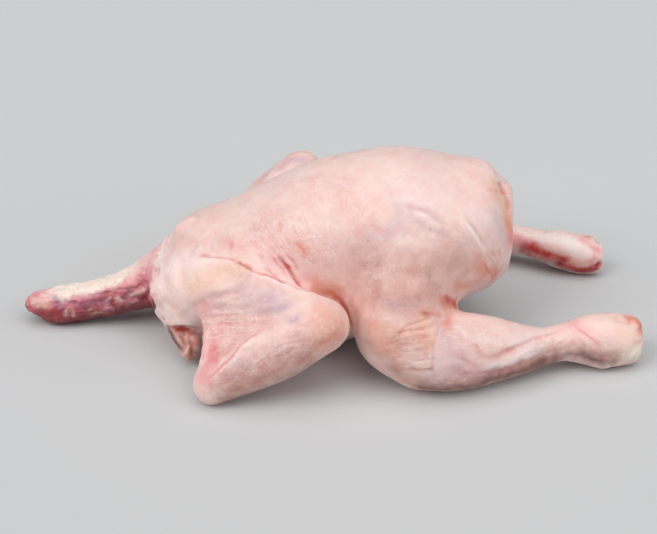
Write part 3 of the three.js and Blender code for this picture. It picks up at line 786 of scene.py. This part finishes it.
# The skin's cut edge round the bare neck: how it swings to and fro, how thick it stands, and how it dives.
COLLAR = {
    "edge": NECK_ROOT + 2.2,
    "swing": 4.0,
    "size": 10.0,
    "thick": 1.2,
    "lip": 3.0,
    "span": 3.5,
    "dive": 4.0,
    "lumps": 0.8,
    "front": NECK_ROOT + 6,
    "back": -88.0,
}
FAR_SHIFT = 2.5                # how far a mark on the far side strays from its mirror image
FAR_STRENGTH = (0.3, 0.95)     # its least and greatest share of the near one's strength


def follicles(clay):
    """Small bumps where the feathers grew, an even distance apart."""
    draw = random.Random(11)
    order = list(range(clay.count))
    draw.shuffle(order)
    points = clay.points.tolist()
    cells = {}
    least = FOLLICLE_SPACING ** 2
    steps = [(i, j, k) for i in (-1, 0, 1) for j in (-1, 0, 1) for k in (-1, 0, 1)]
    for number in order:
        x, y, z = points[number]
        a, b, c = int(x // FOLLICLE_SPACING), int(y // FOLLICLE_SPACING), int(z // FOLLICLE_SPACING)
        taken = (other for i, j, k in steps for other in cells.get((a + i, b + j, c + k), ()))
        if all((x - p) ** 2 + (y - q) ** 2 + (z - r) ** 2 > least for p, q, r in taken):
            cells.setdefault((a, b, c), []).append((x, y, z))
    spots = [at for cell in cells.values() for at in cell]
    tree = KDTree(len(spots))
    for number, at in enumerate(spots):
        tree.insert(at, number)
    tree.balance()
    strengths = np.array([draw.uniform(*FOLLICLE_UNEVEN) for _ in spots])
    nearest = [tree.find(at)[1:] for at in points]
    which, gap = (np.array(column) for column in zip(*nearest))
    return strengths[which] * np.exp(-(gap / FOLLICLE_SIZE) ** 2)


def both_sides(clay, strokes, carry):
    """Works strokes into the near side and, a little unevenly, into the far side."""
    draw = random.Random(5)
    for fold in strokes:
        hits = clay.dropped(fold["path"])
        clay.work(hits, fold)
        strength = draw.uniform(*FAR_STRENGTH)
        shift = Vector([draw.uniform(-FAR_SHIFT, FAR_SHIFT) for _ in range(3)])
        if fold["far"]:
            clay.work(clay.carried(hits, lambda at: carry(at) + shift), fold, strength)


def lay_both(clay, zones, carry):
    for zone in zones:
        hits = clay.dropped(zone["path"])
        start, end = (clay.dropped([at, at])[0][0] for at in zone["along"])
        clay.lay(hits, end - start, zone)
        clay.lay(clay.carried(hits, carry), carry(end) - carry(start), zone)


def turn_collar_in(clay):
    """The skin's lumpy cut edge stands round the neck and dives in under it."""
    x = clay.points[:, 0]
    edge = COLLAR["edge"] + COLLAR["swing"] * noise_at(clay.points, COLLAR["size"], 71)
    lumpy = ramp(COLLAR["back"], COLLAR["front"], x)
    clay.height += COLLAR["lumps"] * lumpy * noise_at(clay.points, 0.7 * COLLAR["size"], 72)
    clay.height += COLLAR["thick"] * np.exp(-((x - edge - COLLAR["lip"]) / COLLAR["lip"]) ** 2)
    clay.height -= (COLLAR["dive"] + COLLAR["thick"]) * ramp(edge, edge - COLLAR["span"], x)


def make_skin():
    """All of the bird but its neck, of which a short stump stays, hidden by the bare neck."""
    bm = merged_copy("carcass")
    cut_across(bm, NECK_ROOT - NECK_STUMP, -1)
    close_end(bm)
    skin = even_skin(bm, "skin", SKIN_FACE, SKIN_EASING)
    clay = Clay(skin, [*STAINS, "sunk", "follicle", "creped"])
    for strokes, zones, carry in (
            (WING_STROKES, WING_CREPED, to_far_limb(WINGS)),
            (BODY_STROKES, BODY_CREPED, to_far_flank),
            (LEG_STROKES, LEG_CREPED, to_far_limb(LEGS))):
        both_sides(clay, strokes, carry)
        lay_both(clay, zones, carry)
    for fold in [*FAR_STROKES, *FLAP_STROKES]:
        clay.work(clay.dropped(fold["path"]), fold)
    clay.wrinkle()
    lively = LIVELY[0] + LIVELY[1] * clay.creping
    for seed, (size, rise) in enumerate(LUMPS):
        clay.height += rise * lively * noise_at(clay.points, size, seed + 40)
    # how sunk the skin is, which its colour uses for painted shade in hollows and painted highlights on
    # crests
    clay.stains["sunk"] = clay.sunk(*SKIN_SUNK)
    bumps = follicles(clay)
    tract = TRACT["middle"] + TRACT["swing"] * noise_at(clay.points, TRACT["size"], 7)
    tract = np.clip(tract + TRACT["creped"] * clay.creping, TRACT["least"], TRACT["most"])
    clay.height += FOLLICLE_RISE * bumps * tract
    turn_collar_in(clay)
    clay.settle()
    clay.stains["follicle"] = bumps * np.clip(tract, 0, 1)
    clay.stains["creped"] = clay.creping / CREPED_MOST
    clay.store()
    return thinned(skin, SKIN_TRIANGLES)


# ------------------------------------------------------------------ bare neck

STRAND = {"spacing": 3.0, "depth": 0.45}
NECK_LUMPS = ((13.0, 0.9), (5.0, 0.6), (2.4, 0.3))
NECK_SUNK = (30, 0.8)
# How far up the meat faces where it is fat, and where along the neck the fat fades.
NECK_FAT = {
    "low": 0.56, "high": 0.84, "tip": -200.0, "tip_end": -180.0, "root": -112.0, "root_start": -138.0}
NECK_ROSE = {"start": -130.0, "end": -114.0, "amount": 0.9}      # pink meat towards the root
NECK_TIP = {"start": -186.0, "end": -202.0, "thinner": 4.5}


def neck_form():
    """The neck of the CAD solid, closed by a root that runs on into the body."""
    bm = merged_copy("carcass")
    cut_across(bm, NECK_ROOT, 1)
    drawn = bmesh.ops.extrude_edge_only(bm, edges=rim(bm))["geom"]
    verts = [v for v in drawn if isinstance(v, bmesh.types.BMVert)]
    bmesh.ops.translate(bm, verts=verts, vec=(NECK_HIDDEN * MM, 0, 0))
    close_end(bm)
    bmesh.ops.recalc_face_normals(bm, faces=bm.faces)
    return bm


def fatten_top(clay):
    """A band of fat along the back of the neck, fading to pink at its edges, its tip and its root."""
    x, up = clay.points[:, 0], clay.normals[:, 2]
    up = up + 0.16 * noise_at(clay.points, 9.0, 81) + 0.08 * noise_at(clay.points, 3.0, 82)
    length = ramp(NECK_FAT["tip"], NECK_FAT["tip_end"], x) * (
        1 - 0.55 * ramp(NECK_FAT["root_start"], NECK_FAT["root"], x))
    clay.stains["fat"] = ramp(NECK_FAT["low"], NECK_FAT["high"], up) * length
    rooted = NECK_ROSE["amount"] * ramp(NECK_ROSE["start"], NECK_ROSE["end"], x) * ramp(-0.4, 0.3, up)
    clay.stains["rose"] = np.maximum(NECK_ROSE["amount"] * ramp(0.25, 0.7, up), rooted)
    # darker meat on the downward faces: partly the neck's own colour and partly painted shade
    clay.stains["underside_meat_and_shade"] = ramp(0.2, -0.4, up)


def thin_tip(clay):
    """The neck's cut end is thinner, most of all from below."""
    x, up = clay.points[:, 0], clay.normals[:, 2]
    clay.height -= NECK_TIP["thinner"] * ramp(NECK_TIP["start"], NECK_TIP["end"], x) * ramp(0.5, -0.5, up)


def make_neck():
    neck = even_skin(neck_form(), "neck", NECK_FACE, NECK_EASING)
    clay = Clay(neck, [*NECK_STAINS, "underside_meat_and_shade", "sunk"])
    thin_tip(clay)
    fatten_top(clay)
    for fold in NECK_STROKES:
        clay.work(clay.dropped(fold["path"]), fold)
    clay.lie[:, 0] /= CREPE_STRETCH
    clay.height += STRAND["depth"] * crests_at(clay.lie, STRAND["spacing"], 3)
    for seed, (size, rise) in enumerate(NECK_LUMPS):
        clay.height += rise * noise_at(clay.points, size, seed + 60)
    # how sunk the neck is, which its colour uses for painted shade in hollows
    clay.stains["sunk"] = clay.sunk(*NECK_SUNK)
    clay.settle()
    clay.store()
    return neck


# ------------------------------------------------------------------ material helpers


class Nodes:
    """Adds nodes to a tree and joins them up."""

    def __init__(self, tree):
        self.tree = tree

    def join(self, value, socket):
        if isinstance(value, bpy.types.NodeSocket):
            self.tree.links.new(value, socket)
        else:
            socket.default_value = value

    def add(self, kind, inputs, **settings):
        node = self.tree.nodes.new(kind)
        for key, value in settings.items():
            setattr(node, key, value)
        for key, value in inputs.items():
            self.join(value, node.inputs[key])
        return node

    def mix(self, share, first, second, blend="MIX"):
        node = self.tree.nodes.new("ShaderNodeMix")
        node.data_type = "RGBA"
        node.blend_type = blend
        self.join(share, node.inputs[0])
        self.join(first, node.inputs[6])
        self.join(second, node.inputs[7])
        return node.outputs[2]

    def math(self, operation, first, second=0.0, clamp=False):
        node = self.add("ShaderNodeMath", {0: first, 1: second}, operation=operation, use_clamp=clamp)
        return node.outputs[0]

    def noise(self, place, scale, detail=2.0, roughness=0.5, distortion=0.0):
        node = self.add("ShaderNodeTexNoise", {
            "Vector": place, "Scale": scale, "Detail": detail, "Roughness": roughness,
            "Distortion": distortion})
        return node.outputs["Fac"]

    def span(self, value, low, high, to_low=0.0, to_high=1.0):
        node = self.add("ShaderNodeMapRange", {
            "Value": value, "From Min": low, "From Max": high, "To Min": to_low, "To Max": to_high})
        return node.outputs["Result"]

    def layer(self, name, output="Fac"):
        return self.add("ShaderNodeAttribute", {}, attribute_name=name).outputs[output]

    def place(self):
        return self.add("ShaderNodeTexCoord", {}).outputs["Object"]


def group(name, inputs, outputs):
    """An empty node group with the named sockets, and the nodes that read and write them."""
    tree = bpy.data.node_groups.new(name, "ShaderNodeTree")
    for socket, kind in inputs.items():
        tree.interface.new_socket(socket, in_out="INPUT", socket_type=kind)
    for socket, kind in outputs.items():
        tree.interface.new_socket(socket, in_out="OUTPUT", socket_type=kind)
    nodes = Nodes(tree)
    return tree, nodes, nodes.add("NodeGroupInput", {}).outputs, nodes.add("NodeGroupOutput", {}).inputs


def stain_group():
    """Lays a stain over a colour where its mask is, with an uneven edge."""
    tree, nodes, given, result = group("stain", {
        "Base": "NodeSocketColor", "Stain": "NodeSocketColor", "Mask": "NodeSocketFloat",
        "Grain": "NodeSocketFloat", "Unevenness": "NodeSocketFloat"}, {"Color": "NodeSocketColor"})
    speck = nodes.noise(nodes.place(), given["Grain"], 3.0, 0.6)
    swing = nodes.math("MULTIPLY", nodes.math("SUBTRACT", speck, 0.5), given["Unevenness"])
    share = nodes.math("MULTIPLY", given["Mask"], nodes.math("ADD", 1.0, swing), clamp=True)
    nodes.join(nodes.mix(share, given["Base"], given["Stain"]), result["Color"])
    return tree


def mottle_group():
    """Two colours in soft uneven clouds."""
    tree, nodes, given, result = group("mottle", {
        "First": "NodeSocketColor", "Second": "NodeSocketColor", "Grain": "NodeSocketFloat",
        "Amount": "NodeSocketFloat"}, {"Color": "NodeSocketColor"})
    cloud = nodes.noise(nodes.place(), given["Grain"], 4.0, 0.6, 0.4)
    share = nodes.math("MULTIPLY", nodes.span(cloud, 0.36, 0.66), given["Amount"], clamp=True)
    nodes.join(nodes.mix(share, given["First"], given["Second"]), result["Color"])
    return tree


def moisture_group():
    """Roughness of wet flesh: glossy films between duller patches."""
    tree, nodes, given, result = group("moisture", {
        "Wet": "NodeSocketFloat", "Dry": "NodeSocketFloat", "Grain": "NodeSocketFloat"},
        {"Roughness": "NodeSocketFloat"})
    film = nodes.noise(nodes.place(), given["Grain"], 4.0, 0.65, 0.6)
    share = nodes.span(film, 0.35, 0.62)
    spread = nodes.math("SUBTRACT", given["Dry"], given["Wet"])
    nodes.join(nodes.math("ADD", given["Wet"], nodes.math("MULTIPLY", share, spread)), result["Roughness"])
    return tree


def crease_group():
    """Finest wrinkles along the lie of the skin, 0 in their valleys and 1 between them."""
    tree, nodes, given, result = group("fine creases", {
        "Lie": "NodeSocketVector", "Grain": "NodeSocketFloat"}, {"Height": "NodeSocketFloat"})
    wave = nodes.noise(given["Lie"], given["Grain"], 3.0, 0.55, 0.3)
    fold = nodes.math("ABSOLUTE", nodes.math("SUBTRACT", wave, 0.5))
    nodes.join(nodes.span(fold, 0.0, 0.13), result["Height"])
    return tree


def pore_group():
    """Height of the pores: shallow pits an even distance apart."""
    tree, nodes, given, result = group("pores", {"Grain": "NodeSocketFloat"}, {"Height": "NodeSocketFloat"})
    cells = nodes.add("ShaderNodeTexVoronoi", {"Vector": nodes.place(), "Scale": given["Grain"]})
    nodes.join(nodes.span(cells.outputs["Distance"], 0.0, 0.5), result["Height"])
    return tree


def place_group(nodes, tree, inputs):
    return nodes.add("ShaderNodeGroup", inputs, node_tree=tree).outputs[0]


def stained(nodes, stain, colour, layers):
    """Lays stains, painted shade and painted highlights over a colour: of each its tint, its mask, the grain
    of its unevenness and how much.
    """
    for tint, mask, grain, unevenness in layers:
        colour = place_group(nodes, stain, {
            "Base": colour, "Stain": tint, "Mask": mask, "Grain": float(grain), "Unevenness": unevenness})
    return colour


def new_material(name):
    """A material with its Principled BSDF, and the nodes to build it with."""
    material = bpy.data.materials.new(name)
    material.use_nodes = True
    tree = material.node_tree
    tree.nodes.clear()
    nodes = Nodes(tree)
    surface = nodes.add("ShaderNodeBsdfPrincipled", {})
    nodes.add("ShaderNodeOutputMaterial", {"Surface": surface.outputs["BSDF"]})
    return material, nodes, surface


def flesh(surface, weight, scale, coat, coat_roughness):
    """Light spreads through flesh, reddest farthest, and a wet film lies on it."""
    surface.inputs["Subsurface Weight"].default_value = weight
    surface.inputs["Subsurface Radius"].default_value = (1.0, 0.4, 0.28)
    surface.inputs["Subsurface Scale"].default_value = scale
    surface.inputs["Coat Weight"].default_value = coat
    surface.inputs["Coat Roughness"].default_value = coat_roughness


def relief(nodes, surface, layers):
    """Bumps the surface by layers, each a height of 0 to 1 and the millimetres that it stands for."""
    height = 0.0
    for layer, rise in layers:
        height = nodes.math("ADD", height, nodes.math("MULTIPLY", layer, rise))
    bump = nodes.add("ShaderNodeBump", {"Height": height, "Strength": 1.0, "Distance": MM})
    nodes.join(bump.outputs["Normal"], surface.inputs["Normal"])


# ------------------------------------------------------------------ materials

# painted shade in the valleys of the finest wrinkles and between the pores
VALLEY_SHADE = shade(240, 212, 206)     # what the skin's colour is multiplied by in its finest wrinkles

# The size of each stain's unevenness, as noise per metre.
STAIN_GRAIN = {
    "tan": 190, "yolk": 130, "pale": 160, "plum": 120, "rose": 220, "amber": 240, "painted_shade": 160,
    "deep": 320, "raw": 240, "gristle": 240,
}
NECK_STAIN_GRAIN = 300
NECK_UNEVENNESS = {"rose": 0.5, "fat": 0.5, "plum": 1.2, "blood": 1.2, "bead": 1.2}
CREASED = (0.1, 0.8)                   # the creping over which the finest wrinkles come out


def skin_material(effects):
    material, nodes, surface = new_material("chicken skin")
    colour = place_group(nodes, effects["mottle"], {
        "First": PALE_SKIN, "Second": PEACH_SKIN, "Grain": 26.0, "Amount": 0.9})
    flush = nodes.span(nodes.noise(nodes.place(), 60.0, 3.0), 0.46, 0.72, to_high=0.45)
    cloud = nodes.span(nodes.noise(nodes.place(), 130.0), 0.48, 0.7, to_high=0.35)
    dots = nodes.math("MULTIPLY", nodes.layer("follicle"), 0.12)
    # painted highlight on the skin's crests and painted shade in its hollows, by how far each point is sunk
    crest_highlight = nodes.span(nodes.layer("sunk"), 0.48, 0.2, to_high=0.5)
    hollow_shade = nodes.span(nodes.layer("sunk"), 0.52, 0.9, to_high=0.6)
    colour = stained(nodes, effects["stain"], colour, [
        (FLUSHED_SKIN, flush, 300, 0.8),
        (STAINS["pale"], cloud, 400, 0.8),
        (STAINS["pale"], dots, 260, 1.2),
        (STAINS["pale"], crest_highlight, 200, 0.6),
        (HOLLOW_SHADE, hollow_shade, 200, 0.6),
        *((tint, nodes.layer(name), STAIN_GRAIN[name], 0.8) for name, tint in STAINS.items()),
    ])
    lie = nodes.layer("lie", "Vector")
    folds = place_group(nodes, effects["crease"], {"Lie": lie, "Grain": 0.38})
    threads = place_group(nodes, effects["crease"], {"Lie": lie, "Grain": 0.85})
    pebbles = place_group(nodes, effects["pores"], {"Grain": 430.0})
    creased = nodes.span(nodes.layer("creped"), *CREASED, 0.05, 0.7)
    # painted shade in the valleys of the finest wrinkles and between the pores
    for valley_shade in (nodes.math("SUBTRACT", 1.0, folds), nodes.span(pebbles, 0.55, 1.0)):
        colour = nodes.mix(nodes.math("MULTIPLY", valley_shade, creased), colour, VALLEY_SHADE, "MULTIPLY")
    nodes.join(colour, surface.inputs["Base Color"])
    nodes.join(place_group(nodes, effects["moisture"], {"Wet": 0.36, "Dry": 0.58, "Grain": 110.0}),
               surface.inputs["Roughness"])
    deep = nodes.span(nodes.layer("creped"), *CREASED, 0.03, 0.26)
    sinks = nodes.math("SUBTRACT", 1.0, pebbles)
    relief(nodes, surface, [
        (folds, deep),
        (threads, nodes.math("MULTIPLY", deep, 0.4)),
        (sinks, nodes.math("MULTIPLY", deep, 0.8)),
    ])
    flesh(surface, weight=0.3, scale=2.6 * MM, coat=0.16, coat_roughness=0.3)
    return material


def neck_material(effects):
    material, nodes, surface = new_material("bare neck meat")
    colour = place_group(nodes, effects["mottle"], {
        "First": NECK_MEAT, "Second": NECK_DARK_MEAT_AND_SHADE, "Grain": 170.0, "Amount": 0.45})
    film = nodes.span(nodes.noise(nodes.place(), 260.0, 4.0, 0.6, 1.0), 0.53, 0.7, to_high=0.5)
    # the downward faces darker: partly dark meat and partly painted shade
    underside_meat_and_shade = nodes.math("MULTIPLY", nodes.layer("underside_meat_and_shade"), 0.85)
    # painted shade in the neck's hollows, by how far each point is sunk
    hollow_shade = nodes.span(nodes.layer("sunk"), 0.53, 0.95, to_high=0.6)
    colour = stained(nodes, effects["stain"], colour, [
        (NECK_FILM, film, 520, 1.6),
        (NECK_DARK_MEAT_AND_SHADE, underside_meat_and_shade, 200, 0.8),
        (NECK_DARK_MEAT_AND_SHADE, hollow_shade, 300, 0.6),
        *((tint, nodes.layer(name), NECK_STAIN_GRAIN, NECK_UNEVENNESS[name])
          for name, tint in NECK_STAINS.items()),
    ])
    nodes.join(colour, surface.inputs["Base Color"])
    nodes.join(place_group(nodes, effects["moisture"], {"Wet": 0.28, "Dry": 0.5, "Grain": 160.0}),
               surface.inputs["Roughness"])
    threads = place_group(nodes, effects["crease"], {"Lie": nodes.layer("lie", "Vector"), "Grain": 0.7})
    pores = place_group(nodes, effects["pores"], {"Grain": 900.0})
    relief(nodes, surface, [(threads, 0.2), (pores, 0.04)])
    flesh(surface, weight=0.3, scale=2.2 * MM, coat=0.3, coat_roughness=0.24)
    return material


def floor_material():
    material, nodes, surface = new_material("pale floor")
    surface.inputs["Base Color"].default_value = FLOOR_GREY
    surface.inputs["Roughness"].default_value = 0.9
    return material


# ------------------------------------------------------------------ stage, light and camera

FLOOR_HALF = 8.0
FLOOR_GAP = 0.1 * MM           # how far the floor lies below the bird
LIGHTS = {
    # name: the way it stands from the bird, how far round it spreads in degrees, strength and colour
    "key": ((-0.9, -0.5, 0.9), 40, 1.45, (1.0, 0.985, 0.97)),
    "top": ((0.0, -0.1, 1.0), 60, 1.15, (1.0, 1.0, 1.0)),
    "fill": ((0.95, -0.45, 0.8), 60, 0.95, (0.985, 0.99, 1.0)),
}
SKY = shade(222, 224, 227)
SKY_STRENGTH = 0.25


def make_camera():
    data = bpy.data.cameras.new("camera")
    data.lens = LENS_MM
    data.sensor_width = SENSOR_MM
    camera = linked("camera", data)
    camera.location = EYE
    camera.rotation_euler = VIEW_BACK.to_track_quat("Z", "Y").to_euler()
    bpy.context.scene.camera = camera


def make_floor():
    bm = bmesh.new()
    bmesh.ops.create_grid(bm, x_segments=1, y_segments=1, size=FLOOR_HALF)
    bmesh.ops.translate(bm, verts=bm.verts, vec=(0, 0, -FLOOR_GAP))
    floor = piece_from(bm, "floor")
    floor.data.materials.append(floor_material())


def make_lights():
    for name, (way, spread, strength, tint) in LIGHTS.items():
        data = bpy.data.lights.new(name, "SUN")
        data.angle = math.radians(spread)
        data.energy = strength
        data.color = tint
        light = linked(name, data)
        light.location = way
        light.rotation_euler = Vector(way).to_track_quat("Z", "Y").to_euler()
    world = bpy.data.worlds.new("studio")
    world.use_nodes = True
    sky = world.node_tree.nodes["Background"]
    sky.inputs["Color"].default_value = SKY
    sky.inputs["Strength"].default_value = SKY_STRENGTH
    bpy.context.scene.world = world
    bpy.context.scene.view_settings.view_transform = "Standard"


# ------------------------------------------------------------------ scene

make_camera()
make_floor()
make_lights()

effects = {
    "stain": stain_group(),
    "mottle": mottle_group(),
    "moisture": moisture_group(),
    "crease": crease_group(),
    "pores": pore_group(),
}
skin = make_skin()
skin.data.materials.append(skin_material(effects))
neck = make_neck()
neck.data.materials.append(neck_material(effects))
for piece in (skin, neck):
    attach(piece, "root")
    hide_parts("carcass")
